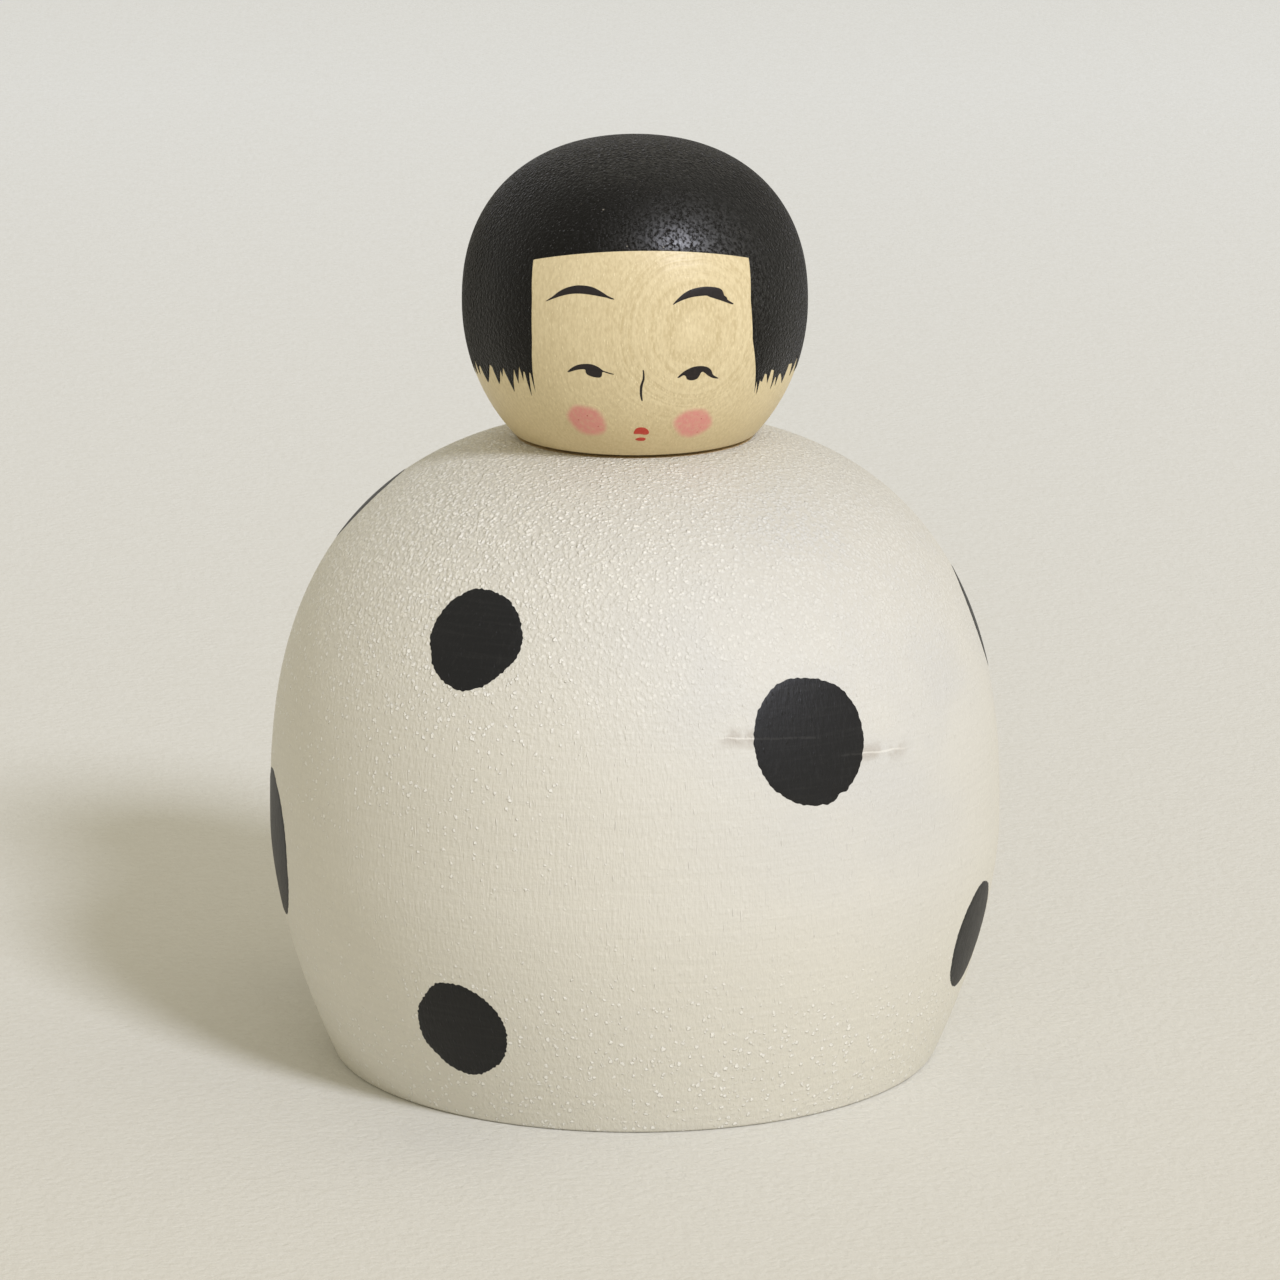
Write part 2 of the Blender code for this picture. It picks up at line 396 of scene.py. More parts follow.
def makeHair(plan):
    lows = []
    tips = tipLine(plan)
    for (a0, h0), (a1, h1) in zip(tips, tips[1:]):
        count = max(2, int(math.ceil((a1 - a0) / plan["strandStep"])))
        for k in range(count):
            lows.append((a0 + (a1 - a0) * k / count, h0 + (h1 - h0) * k / count))
    lows.append(tips[-1])
    rightH, rightA = np.array(plan["rightEdge"]).T
    leftH, leftA = np.array(plan["leftEdge"]).T
    firstLow, lastLow = lows[0], lows[-1]

    def sideAngle(low, height):  # strands follow the window's edge, and hang straight further back
        right = np.interp(height, rightH, rightA) - np.interp(firstLow[1], rightH, rightA)
        left = np.interp(height, leftH, leftA) - np.interp(lastLow[1], leftH, leftA)
        nearRight = math.exp(-(low[0] - firstLow[0]) / plan["softness"])
        nearLeft = math.exp(-(lastLow[0] - low[0]) / plan["softness"])
        return low[0] + right * nearRight + left * nearLeft

    base = headShape["baseHeight"]
    ringS = along(headLine, base + plan["sideRing"])
    topS = headLine["s"][-1]
    columns = []  # (angle on the ring, length along the meridian, True above the fringe)
    for low in lows:
        columns.append((sideAngle(low, plan["sideRing"]), ringS, False))
    startA, endA = columns[-1][0] - 360.0, columns[0][0]
    for k in range(1, plan["fringeColumns"]):
        step = k / plan["fringeColumns"]
        share = 0.5 - 0.5 * math.cos(math.pi * step)
        a = startA + (endA - startA) * (0.5 * share + 0.5 * step)
        height = plan["fringeTop"] - plan["fringeBow"] * a * a
        columns.append((a + 360.0, along(headLine, base + height), True))

    outer, inner, faces = [], [], []

    def put(angle, s, lift):
        outer.append(spot(headLine, math.radians(angle), s, lift))
        inner.append(spot(headLine, math.radians(angle), s, -coat["bed"]))
        return len(outer) - 1

    streak = random.Random(plan["seed"] + 1)
    streaks = [streak.uniform(-plan["streak"], plan["streak"]) for _ in columns]
    grid = []
    for (angle, s0, fringe), extra in zip(columns, streaks):  # crown, from the ring up to just below the top
        column = []
        for j in range(plan["crownRows"]):
            share = j / plan["crownRows"]
            lift = coat["rim"] if fringe and j == 0 else coat["thick"] + extra * (1.0 - share)
            s = s0 + (topS - s0) * (plan["fringeEdge"] if fringe and j == 1 else share)
            column.append(put(angle, s, lift))
        grid.append(column)
    top = put(0.0, topS, coat["thick"])
    for i in range(len(columns)):
        a, b = grid[i], grid[(i + 1) % len(columns)]
        for j in range(plan["crownRows"] - 1):
            faces.append([a[j], b[j], b[j + 1], a[j + 1]])
        faces.append([a[-1], b[-1], top])

    sides = []
    for i, low in enumerate(lows):
        s0 = along(headLine, base + low[1])
        edge = i in (0, len(lows) - 1)
        column = []
        for j in range(plan["sideRows"]):
            s = s0 + (ringS - s0) * (j / plan["sideRows"]) ** 1.2  # closer rows at the tips
            height = float(np.interp(s, headLine["s"], headLine["z"])) - base
            lift = coat["rim"] if j == 0 or edge else coat["thick"] + streaks[i]
            column.append(put(sideAngle(low, height), s, lift))
        column.append(grid[i][0])
        sides.append(column)
    for a, b in zip(sides, sides[1:]):
        for j in range(plan["sideRows"]):
            faces.append([a[j], b[j], b[j + 1], a[j + 1]])
    return shell("hair_paint", outer, inner, faces)


hairPiece = makeHair(hair)
print("hair:", len(hairPiece.data.polygons), "faces")


# face: millimetres across from its middle line and up from the head's base
face = {
    "brow_left": [
        (-9.54, 15.38), (-8.78, 15.91), (-8.04, 16.46), (-7.21, 16.86), (-6.2, 17.11), (-5.22, 17.1),
        (-4.54, 16.95), (-3.87, 16.62), (-3.31, 16.28), (-2.69, 16.0), (-2.93, 15.96), (-3.4, 16.09),
        (-4.07, 16.2), (-5.03, 16.32), (-6.01, 16.36), (-6.91, 16.27), (-7.83, 16.03), (-8.67, 15.72),
    ],
    "brow_right": [
        (2.81, 15.41), (3.29, 15.94), (3.98, 16.46), (4.77, 16.78), (5.99, 16.9), (7.14, 16.75),
        (7.72, 16.51), (7.94, 16.21), (8.04, 15.93), (8.32, 15.7), (8.43, 15.47), (9.04, 15.08),
        (8.87, 15.02), (7.98, 15.36), (7.12, 15.69), (6.49, 15.91), (6.18, 16.06), (5.57, 16.07),
        (4.76, 16.03), (3.97, 15.86), (3.29, 15.62),
    ],
    "eye_left": [
        (-7.25, 8.8), (-6.83, 9.21), (-6.22, 9.55), (-5.43, 9.7), (-4.75, 9.66), (-4.17, 9.42),
        (-3.69, 9.09), (-2.74, 8.8), (-2.95, 8.77), (-3.41, 8.89), (-3.79, 8.97), (-3.88, 8.59),
        (-4.07, 8.41), (-4.65, 8.43), (-5.23, 8.62), (-5.43, 8.86), (-5.5, 9.13), (-5.93, 9.13),
        (-6.52, 8.98), (-7.03, 8.79),
    ],
    "eye_right": [
        (3.3, 8.39), (3.7, 8.77), (4.19, 9.09), (4.88, 9.34), (5.69, 9.36), (6.32, 9.18), (6.69, 8.84),
        (6.91, 8.37), (7.46, 8.0), (7.3, 7.95), (6.76, 8.1), (6.33, 8.37), (6.07, 8.6), (5.81, 8.77),
        (5.63, 8.7), (5.46, 8.4), (5.21, 8.11), (4.71, 8.0), (4.26, 8.13), (4.07, 8.48), (3.85, 8.55),
        (3.47, 8.35),
    ],
    "lip_upper": [
        (-0.76, 2.66), (-0.57, 3.1), (-0.19, 3.26), (0.28, 3.21), (0.62, 2.92), (0.68, 2.59), (0.4, 2.45),
        (-0.17, 2.52), (-0.65, 2.54),
    ],
    "lip_lower": [(-0.58, 1.92), (-0.25, 2.12), (0.22, 2.11), (0.41, 1.97), (0.23, 1.77), (-0.24, 1.77)],
    "cheek_left": [
        (-7.62, 4.3), (-6.8, 5.6), (-5.31, 5.68), (-3.95, 5.2), (-3.15, 3.85), (-3.18, 2.62), (-4.15, 2.02),
        (-5.72, 2.06), (-7.05, 3.05),
    ],
    "cheek_right": [
        (2.7, 3.55), (3.2, 4.6), (4.25, 5.2), (5.3, 5.29), (6.45, 5.0), (7.28, 3.72), (6.95, 2.5),
        (5.07, 1.64), (3.52, 2.02),
    ],
    "nose": [
        (0.02, 9.22, 0.1), (0.07, 8.8, 0.15), (0.06, 8.3, 0.19), (-0.13, 7.6, 0.23), (-0.15, 6.8, 0.22),
        (-0.04, 6.1, 0.13),
    ],
}
lineFilm = {"pitch": 0.13, "thick": 0.035}
cheekFilm = {"pitch": 0.16, "thick": 0.02}


def onFace(p):  # (across, up) to an angle and a length along the head's meridian
    s = along(headLine, headShape["baseHeight"] + p[1])
    return p[0] / radiusAt(headLine, s), s


facePieces = {}
for name, points in face.items():
    outline = brushLine(points, 8) if name == "nose" else smoothLoop(points, 6)
    film = cheekFilm if "cheek" in name else lineFilm
    facePieces[name] = layFilm(name, headLine, outline, onFace, **film)
print("face:", ", ".join(facePieces))


# dots: degrees from the face, height of the middle, sixteen radii of the brushed outline from the right
# upwards, then nicks (degrees, reach, depth)
dots = {
    "front_left_high": (
        -31.4, 47.4, [4.9, 4.8, 4.9, 4.9, 5.0, 5.2, 5.1, 5.0, 4.9, 4.7, 4.8, 4.9, 4.9, 4.6, 4.4, 4.6],
    ),
    "front_right": (
        25.3, 38.5, [6.2, 6.2, 6.2, 5.9, 5.9, 6.1, 5.9, 5.7, 5.5, 5.5, 5.6, 5.8, 6.1, 6.3, 6.3, 6.2],
        (-61, 5, -0.24), (-74, 7, 0.16),
    ),
    "front_left_low": (
        -31.8, 10.2, [4.7, 4.7, 4.6, 4.7, 4.8, 5.0, 4.7, 4.8, 5.0, 5.2, 5.1, 5.2, 5.3, 5.0, 4.9, 4.8],
    ),
    "left": (-83.2, 21.8, [6.5, 6.6, 6.8, 7.0, 7.3, 7.2, 6.8, 6.3, 6.2, 6.4, 6.8, 7.1, 7.2, 7.1, 6.8, 6.6]),
    "right_low": (
        68.6, 14.0, [5.1, 5.2, 5.2, 5.3, 5.4, 5.3, 5.1, 5.1, 5.0, 5.1, 5.3, 5.4, 5.3, 5.1, 5.0, 5.0],
    ),
    "right_high": (
        90.9, 42.7, [4.9, 5.0, 5.2, 5.2, 5.3, 5.2, 5.2, 5.0, 4.9, 4.9, 5.1, 5.3, 5.2, 5.0, 4.9, 4.8],
    ),
    "left_high": (
        -104.6, 53.4, [5.0, 4.9, 4.9, 4.7, 4.6, 4.7, 4.9, 5.1, 5.0, 4.8, 4.7, 4.7, 4.8, 4.9, 5.0, 5.1],
    ),
    "back_right": (
        118.0, 21.5, [5.6, 5.5, 5.6, 5.8, 6.0, 6.1, 5.9, 5.6, 5.5, 5.6, 5.7, 5.7, 5.6, 5.4, 5.4, 5.5],
    ),
    "back_right_high": (
        150.0, 46.0, [4.8, 5.0, 5.1, 5.0, 4.9, 4.7, 4.7, 4.8, 5.0, 5.2, 5.2, 5.0, 4.8, 4.7, 4.6, 4.7],
    ),
    "back_low": (
        167.0, 11.5, [5.0, 5.1, 5.2, 5.0, 4.8, 4.7, 4.8, 5.0, 5.1, 5.2, 5.1, 5.0, 4.9, 4.8, 4.8, 4.9],
    ),
    "back_left": (
        -150.0, 35.0, [5.8, 5.7, 5.8, 6.0, 6.2, 6.2, 6.0, 5.8, 5.7, 5.8, 5.9, 6.0, 5.9, 5.7, 5.6, 5.7],
    ),
    "back_left_low": (
        -124.0, 10.0, [5.2, 5.1, 5.0, 4.9, 4.9, 5.0, 5.2, 5.3, 5.2, 5.0, 4.8, 4.8, 4.9, 5.1, 5.2, 5.2],
    ),
}
dotEdge = {"ragged": 0.03, "waves": (9, 14, 23, 34, 47, 62), "pitch": 0.36, "seed": 20}


def makeDot(name, plan, seed):
    angle, height, radii, *nicks = plan
    middle = along(bodyLine, height)
    girth = radiusAt(bodyLine, middle)
    draw = random.Random(seed)
    ragged = [(k, draw.uniform(0.4, 1) * dotEdge["ragged"], draw.uniform(0, 6.28)) for k in dotEdge["waves"]]
    corners = []
    for i, r in enumerate(radii):
        t = 2 * math.pi * i / len(radii)
        corners.append((r * math.cos(t), r * math.sin(t)))
    outline = []
    for x, y in smoothLoop(corners, 20):
        t, r = math.atan2(y, x), math.hypot(x, y)
        r += sum(size * math.sin(k * t + phase) for k, size, phase in ragged)
        r += sum(depth * max(0.0, 1 - ((math.degrees(t) - at) / reach) ** 2) for at, reach, depth in nicks)
        outline.append((r * math.cos(t), r * math.sin(t)))

    def onBody(p):
        return math.radians(angle) + p[0] / girth, middle + p[1]

    return layFilm("dot_" + name, bodyLine, outline, onBody, dotEdge["pitch"], coat["thick"])


dotPieces = [makeDot(name, plan, dotEdge["seed"] + i) for i, (name, plan) in enumerate(dots.items())]
print("dots:", len(dotPieces))


# materials
def addNode(tree, kind, values=None, **settings):
    made = tree.nodes.new(kind)
    for key, value in settings.items():
        setattr(made, key, value)
    for key, value in (values or {}).items():
        if isinstance(value, bpy.types.NodeSocket):
            tree.links.new(value, made.inputs[key])
        else:
            made.inputs[key].default_value = value
    return made


def calc(tree, operation, a, b=0.0, c=0.0):
    return addNode(tree, "ShaderNodeMath", {0: a, 1: b, 2: c}, operation=operation).outputs[0]


def times(tree, first, *others):
    for value in others:
        first = calc(tree, "MULTIPLY", first, value)
    return first


def scaled(tree, value, factor, plus):  # value * factor + plus
    return calc(tree, "MULTIPLY_ADD", value, factor, plus)


def greatest(tree, first, *others):
    for value in others:
        first = calc(tree, "MAXIMUM", first, value)
    return first


def vectorCalc(tree, operation, *parts, out="Vector"):
    return addNode(tree, "ShaderNodeVectorMath", dict(enumerate(parts)), operation=operation).outputs[out]


def inMillimetres(tree, place):
    return vectorCalc(tree, "MULTIPLY", place, (1000.0, 1000.0, 1000.0))


def split(tree, vector):
    return addNode(tree, "ShaderNodeSeparateXYZ", {0: vector}).outputs


def ramp(tree, value, low, high, smooth=True):  # 0 at low, 1 at high
    kind = "SMOOTHSTEP" if smooth else "LINEAR"
    limits = {0: value, 1: low, 2: high, 3: 0.0, 4: 1.0}
    return addNode(tree, "ShaderNodeMapRange", limits, interpolation_type=kind).outputs[0]


def blendColour(tree, share, first, second):
    return addNode(tree, "ShaderNodeMix", {0: share, 6: first, 7: second}, data_type="RGBA").outputs[2]


def noise(tree, where, scale, detail=2.0, rough=0.5, dims="3D"):
    values = {"Scale": scale, "Detail": detail, "Roughness": rough}
    made = addNode(tree, "ShaderNodeTexNoise", values, noise_dimensions=dims)
    tree.links.new(where, made.inputs["W" if dims == "1D" else "Vector"])
    return made.outputs[0]


def newGroup(name, inputs, outputs):  # inputs by name, each a number or a vector, and names of value outputs
    tree = bpy.data.node_groups.new(name, "ShaderNodeTree")
    for label, value in inputs.items():
        kind = "NodeSocketFloat" if isinstance(value, float) else "NodeSocketVector"
        tree.interface.new_socket(name=label, in_out="INPUT", socket_type=kind).default_value = value
    for label in outputs:
        tree.interface.new_socket(name=label, in_out="OUTPUT", socket_type="NodeSocketFloat")
    return tree, addNode(tree, "NodeGroupInput").outputs, addNode(tree, "NodeGroupOutput").inputs


def wire(tree, sockets, values):
    for label, value in values.items():
        tree.links.new(value, sockets[label])


atOrigin = (0.0, 0.0, 0.0)


def fibreGroup():  # upright fibres: short strokes on the flanks, round ends on the shoulders
    sizes = {"Place": atOrigin, "Width": 0.4, "Length": 2.0, "Share": 0.3}
    tree, start, end = newGroup("uprightFibres", sizes, ("Pores", "Pebbles", "Fibres"))
    size = addNode(tree, "ShaderNodeCombineXYZ", {0: start["Width"], 1: start["Width"], 2: start["Length"]})
    cells = vectorCalc(tree, "DIVIDE", inMillimetres(tree, start["Place"]), size.outputs[0])
    drift = addNode(tree, "ShaderNodeTexNoise", {"Vector": cells, "Scale": 1.3, "Detail": 1.0})
    uneven = vectorCalc(tree, "MULTIPLY_ADD", drift.outputs["Color"], (0.7, 0.7, 0.7), cells)
    cell = addNode(tree, "ShaderNodeTexVoronoi", {"Vector": uneven, "Scale": 1.0, "Randomness": 1.0}).outputs
    chance = addNode(tree, "ShaderNodeSeparateColor", {0: cell["Color"]}).outputs
    chosen = calc(tree, "LESS_THAN", chance[0], start["Share"])
    full = scaled(tree, chance[1], 0.8, 0.2)
    wire(tree, end, {
        "Pores": times(tree, ramp(tree, cell["Distance"], 0.36, 0.08), chosen, full),
        "Pebbles": times(tree, ramp(tree, cell["Distance"], 0.75, 0.1), full),
        "Fibres": noise(tree, cells, 1.0, 3.0, 0.6),
    })
    return tree


def ringGroup():  # growth layers: a bullseye where the turned surface lies along them
    sizes = {"Place": atOrigin, "Facing": (0.3, -0.95, 0.0), "Spacing": 0.5}
    tree, start, end = newGroup("growthLayers", sizes, ("Layers", "Figure", "Depth"))
    place = inMillimetres(tree, start["Place"])
    depth = vectorCalc(tree, "DOT_PRODUCT", place, start["Facing"], out="Value")
    slow = vectorCalc(tree, "MULTIPLY", place, (1.0, 1.0, 0.35))
    swayed = scaled(tree, noise(tree, slow, 0.16), 0.5, depth)
    layers = noise(tree, calc(tree, "DIVIDE", swayed, start["Spacing"]), 1.0, 3.0, 0.6, "1D")
    figure = noise(tree, slow, 0.3, 3.0, 0.6)
    wire(tree, end, {"Depth": depth, "Layers": ramp(tree, layers, 0.3, 0.7), "Figure": figure})
    return tree


def brushGroup():  # brushed paint: soft streaks round the piece, thin places and a few dark specks
    sizes = {"Place": atOrigin, "Streak": 0.5}
    tree, start, end = newGroup("brushedPaint", sizes, ("Streaks", "Clouds", "Specks"))
    place = inMillimetres(tree, start["Place"])
    upScale = calc(tree, "DIVIDE", 1.0, start["Streak"])
    flat = addNode(tree, "ShaderNodeCombineXYZ", {0: 0.12, 1: 0.12, 2: upScale}).outputs[0]
    cell = addNode(tree, "ShaderNodeTexVoronoi", {"Vector": place, "Scale": 0.28, "Randomness": 1.0}).outputs
    chance = addNode(tree, "ShaderNodeSeparateColor", {0: cell["Color"]}).outputs
    few = calc(tree, "LESS_THAN", chance[0], 0.055)
    wire(tree, end, {
        "Streaks": noise(tree, vectorCalc(tree, "MULTIPLY", place, flat), 1.0, 4.0, 0.6),
        "Clouds": noise(tree, place, 0.07, 3.0, 0.55),
        "Specks": times(tree, ramp(tree, cell["Distance"], 0.028, 0.012), few),
    })
    return tree


# cracked line: degrees from the face and millimetres of height; it steps down halfway
crack = {
    "height": 39.95,
    "slope": -0.045,
    "halfway": 29.0,
    "step": -1.9,
    "left": (8.5, 13.0),
    "right": (46.0, 41.0),
}


def crackGroup(plan):  # one crosswise crack in the wood, under the paint
    tree, start, end = newGroup("crackedLine", {"Place": atOrigin}, ("Line", "Darkening"))
    place = inMillimetres(tree, start["Place"])
    x, y, z = split(tree, place)
    angle = times(tree, calc(tree, "ARCTAN2", x, times(tree, y, -1.0)), 180.0 / math.pi)
    wander = scaled(tree, noise(tree, place, 0.45), 0.5, -0.25)
    past = calc(tree, "GREATER_THAN", angle, plan["halfway"])
    height = scaled(tree, past, plan["step"], scaled(tree, angle, plan["slope"], wander))
    height = calc(tree, "ADD", height, plan["height"])
    off = calc(tree, "ABSOLUTE", calc(tree, "SUBTRACT", z, height))
    middle = calc(tree, "ABSOLUTE", calc(tree, "SUBTRACT", angle, plan["halfway"]))
    ends = times(tree, ramp(tree, angle, *plan["left"]), ramp(tree, angle, *plan["right"]))
    ends = times(tree, ends, ramp(tree, middle, 1.0, 4.0))
    blot = times(tree, ramp(tree, off, 1.3, 0.1), ramp(tree, noise(tree, place, 0.5), 0.38, 0.6))
    thin = ramp(tree, off, 0.13, 0.03)
    wire(tree, end, {"Line": times(tree, thin, ends), "Darkening": times(tree, blot, ends)})
    return tree


groups = {"fibres": fibreGroup(), "rings": ringGroup(), "brush": brushGroup(), "crack": crackGroup(crack)}


def useGroup(tree, name, values):
    return addNode(tree, "ShaderNodeGroup", values, node_tree=groups[name]).outputs


def useFibres(tree, place, width, length, share):
    return useGroup(tree, "fibres", {"Place": place, "Width": width, "Length": length, "Share": share})


def newMaterial(name, fixed):  # fixed values go straight on the shader's sockets
    material = bpy.data.materials.new(name)
    material.use_nodes = True
    tree = material.node_tree
    shader = tree.nodes["Principled BSDF"].inputs
    for label, value in fixed.items():
        shader[label].default_value = value
    return material, tree, shader, addNode(tree, "ShaderNodeTexCoord").outputs["Object"]


def bump(tree, height, distance):
    values = {"Height": height, "Distance": distance * mm, "Strength": 1.0}
    return addNode(tree, "ShaderNodeBump", values).outputs[0]


def upwards(tree):  # 0 on upright flanks, 1 on the shoulder
    return split(tree, addNode(tree, "ShaderNodeNewGeometry").outputs["Normal"])[2]


# in the paints, marks are (width, length, share) and roughness is (spread, least); places are in metres
whitePaint = {
    "tone": (0.74, 0.71, 0.612, 1.0),
    "thin": (0.60, 0.577, 0.512, 1.0),
    # painted shade colour: cooler and darker paint for the patch where the key light falls on the right
    # shoulder
    "litShade": (0.625, 0.616, 0.58, 1.0),
    # painted light: lighter paint for the left shoulder, on the side away from the key light
    "full": (0.80, 0.772, 0.675, 1.0),
    # painted highlight colour for glints on granule tops, raised grit and pore dashes; also the crack's
    # lighter line
    "high": (0.96, 0.94, 0.865, 1.0),
    "speck": (0.10, 0.09, 0.07, 1.0),
    # brownish colour of the darker band either side of the crack
    "crackDark": (0.47, 0.43, 0.37, 1.0),
    "litSpot": (0.024, -0.023, 0.049),
    "litReach": (0.044, 0.010),
    "grain": (0.43, 0.5, 0.5),
    "dashes": (0.26, 1.5, 0.22),
    "grit": (0.54, 0.6, 0.5),
    "gritFlank": 0.47,
    "gritShoulder": 0.2,
    "gritLeft": 0.36,
    "gritFoot": 0.36,
    "gritGloss": 0.6,
    "streak": 0.5,
    "roughness": (0.16, 0.59),
    "relief": 0.09,
    "shader": {
        "IOR": 1.9,
        "Specular IOR Level": 0.5,
        "Specular Tint": (0.88, 0.95, 1.0, 1.0),
        "Coat Roughness": 0.25,
    },
}


def makeWhitePaint(plan):
    material, tree, shader, place = newMaterial("white_paint", plan["shader"])
    brush = useGroup(tree, "brush", {"Place": place, "Streak": plan["streak"]})
    flaw = useGroup(tree, "crack", {"Place": place})
    grain, dashes, grit = (useFibres(tree, place, *plan[kind]) for kind in ("grain", "dashes", "grit"))
    across, _, up = split(tree, place)
    lean = ramp(tree, upwards(tree), 0.2, 0.85, False)
    # painted shade: round the spot where the key light's highlight falls on the right shoulder, the paint is
    # painted cooler and darker; the same patch is brushed smoother
    away = vectorCalc(tree, "DISTANCE", place, plan["litSpot"], out="Value")
    smooth = ramp(tree, away, *plan["litReach"])
    left = times(tree, ramp(tree, across, 0.006, -0.02), ramp(tree, up, 0.012, 0.045))
    foot = ramp(tree, up, 0.024, 0.006)
    even = greatest(tree, ramp(tree, across, 0.016, -0.001), foot)  # brushed out flatter on the right; the painted highlights and valley shade are weaker there too
    granules = times(tree, lean, scaled(tree, smooth, -0.3, 1.0))

    dense = scaled(tree, left, plan["gritLeft"], scaled(tree, lean, plan["gritShoulder"], plan["gritFlank"]))
    dense = scaled(tree, foot, plan["gritFoot"], scaled(tree, smooth, -0.3, dense))
    raised = ramp(tree, times(tree, grit["Pebbles"], dense), 0.4, 0.62)
    raised = times(tree, raised, scaled(tree, even, 0.85, 0.15))

    # painted light: the granules on the left shoulder, turned away from the key light, are painted lighter
    # towards the full tone
    colour = blendColour(tree, times(tree, granules, left), plan["tone"], plan["full"])
    # painted shade: cooler, darker paint over that key-lit patch, broken up by clouds
    litShadeCloud = times(tree, smooth, scaled(tree, ramp(tree, brush["Clouds"], 0.35, 0.65), 0.4, 0.6))
    colour = blendColour(tree, litShadeCloud, colour, plan["litShade"])
    streak = times(tree, ramp(tree, brush["Streaks"], 0.35, 0.7), 0.14)
    colour = blendColour(tree, streak, colour, plan["thin"])
    # painted shade: the hollows between granules are painted darker towards the thin tone, most on the
    # shoulders; this share sets how much
    worn = scaled(tree, lean, scaled(tree, even, -0.45, 1.05), 0.06)
    valleyShade = times(tree, ramp(tree, grain["Pebbles"], 0.35, 0.05), worn)
    colour = blendColour(tree, valleyShade, colour, plan["thin"])
    # painted highlights: granule tops, raised grit and pore dashes are painted lighter towards the high
    # tone, as glints
    topHighlights = times(tree, scaled(tree, granules, 0.8, 0.12), scaled(tree, even, 0.7, 0.3))
    topHighlights = times(tree, ramp(tree, grain["Pebbles"], 0.4, 0.85), topHighlights)
    light = greatest(tree, topHighlights, times(tree, dashes["Pores"], 0.35), times(tree, raised, 0.95))
    colour = blendColour(tree, light, colour, plan["high"])
    # a brownish darker band either side of the crack, and a thin lighter line along it
    colour = blendColour(tree, times(tree, flaw["Darkening"], 0.8), colour, plan["crackDark"])
    colour = blendColour(tree, times(tree, flaw["Line"], 0.4), colour, plan["high"])
    colour = blendColour(tree, brush["Specks"], colour, plan["speck"])

    domes = scaled(tree, grain["Pebbles"], 0.8, times(tree, grain["Fibres"], 1.2))
    height = times(tree, domes, scaled(tree, granules, 2.0, 0.25))
    height = scaled(tree, raised, 0.9, height)
    height = scaled(tree, dashes["Pores"], 0.6, scaled(tree, dashes["Fibres"], 0.9, height))
    height = scaled(tree, brush["Streaks"], 0.5, height)
    wire(tree, shader, {
        "Base Color": colour,
        "Roughness": scaled(tree, grain["Fibres"], *plan["roughness"]),
        "Coat Weight": times(tree, raised, plan["gritGloss"]),
        "Normal": bump(tree, height, plan["relief"]),
    })
    return material


# in the woods, layers fade in from the first depth of the bullseye to the second, in millimetres
woodMarks = (0.24, 0.62, 0.4)
bareWood = {
    "pale": (0.825, 0.71, 0.45, 1.0),
    "dark": (0.60, 0.49, 0.275, 1.0),
    # painted shade colour under the chin, towards the neck
    "neckShade": (0.56, 0.43, 0.21, 1.0),
    "neckShadeHeight": (0.0685, 0.0615),
    "neckShadeShare": 0.42,
    "layer": 0.24,
    "facing": (0.30, -0.954, 0.0),
    "bullseye": (12.5, 16.2),
    "roughness": (0.1, 0.38),
    "shader": {"Specular IOR Level": 0.4},
}
pegWood = {
    "pale": (0.70, 0.53, 0.31, 1.0),
    "dark": (0.55, 0.39, 0.2, 1.0),
    "layer": 0.6,
    "facing": (0.6, 0.8, 0.0),
    "bullseye": (-2.0, 4.0),
    "shader": {"Roughness": 0.7, "Specular IOR Level": 0.4},
}
endWood = {
    "pale": (0.80, 0.66, 0.42, 1.0),
    "dark": (0.50, 0.37, 0.19, 1.0),
    "layer": 3.2,
    "facing": (0.6, 0.8, 0.0),
    "bullseye": (-60.0, -40.0),
    "shader": {"Roughness": 0.6, "Specular IOR Level": 0.4},
}


def woodColour(tree, place, plan):
    rings = useGroup(tree, "rings", {"Place": place, "Facing": plan["facing"], "Spacing": plan["layer"]})
    fibres = useFibres(tree, place, *woodMarks)
    near = scaled(tree, ramp(tree, rings["Depth"], *plan["bullseye"]), 0.7, 0.3)
    broken = scaled(tree, ramp(tree, fibres["Fibres"], 0.3, 0.6), 0.7, 0.3)
    broken = times(tree, rings["Layers"], near, broken)
    share = scaled(tree, broken, 0.4, times(tree, rings["Figure"], 0.4))
    share = scaled(tree, ramp(tree, fibres["Fibres"], 0.3, 0.7), 0.42, share)
    share = scaled(tree, fibres["Pores"], -0.8, share)
    colour = blendColour(tree, greatest(tree, share, 0.0), plan["pale"], plan["dark"])
    if "neckShade" in plan:  # painted shade: the wood is painted darker towards the neck, under the chin
        neckShade = times(tree, ramp(tree, split(tree, place)[2], *plan["neckShadeHeight"]), plan["neckShadeShare"])
        colour = blendColour(tree, neckShade, colour, plan["neckShade"])
    height = scaled(tree, fibres["Pores"], 0.5, times(tree, fibres["Fibres"], 0.8))
    return colour, scaled(tree, broken, -0.4, height)


def makeWood(name, plan):
    material, tree, shader, place = newMaterial(name, plan["shader"])
    colour, height = woodColour(tree, place, plan)
    wire(tree, shader, {"Base Color": colour, "Normal": bump(tree, height, 0.05)})
    if "roughness" in plan:  # burnished
        wire(tree, shader, {"Roughness": scaled(tree, height, *plan["roughness"])})
    return material


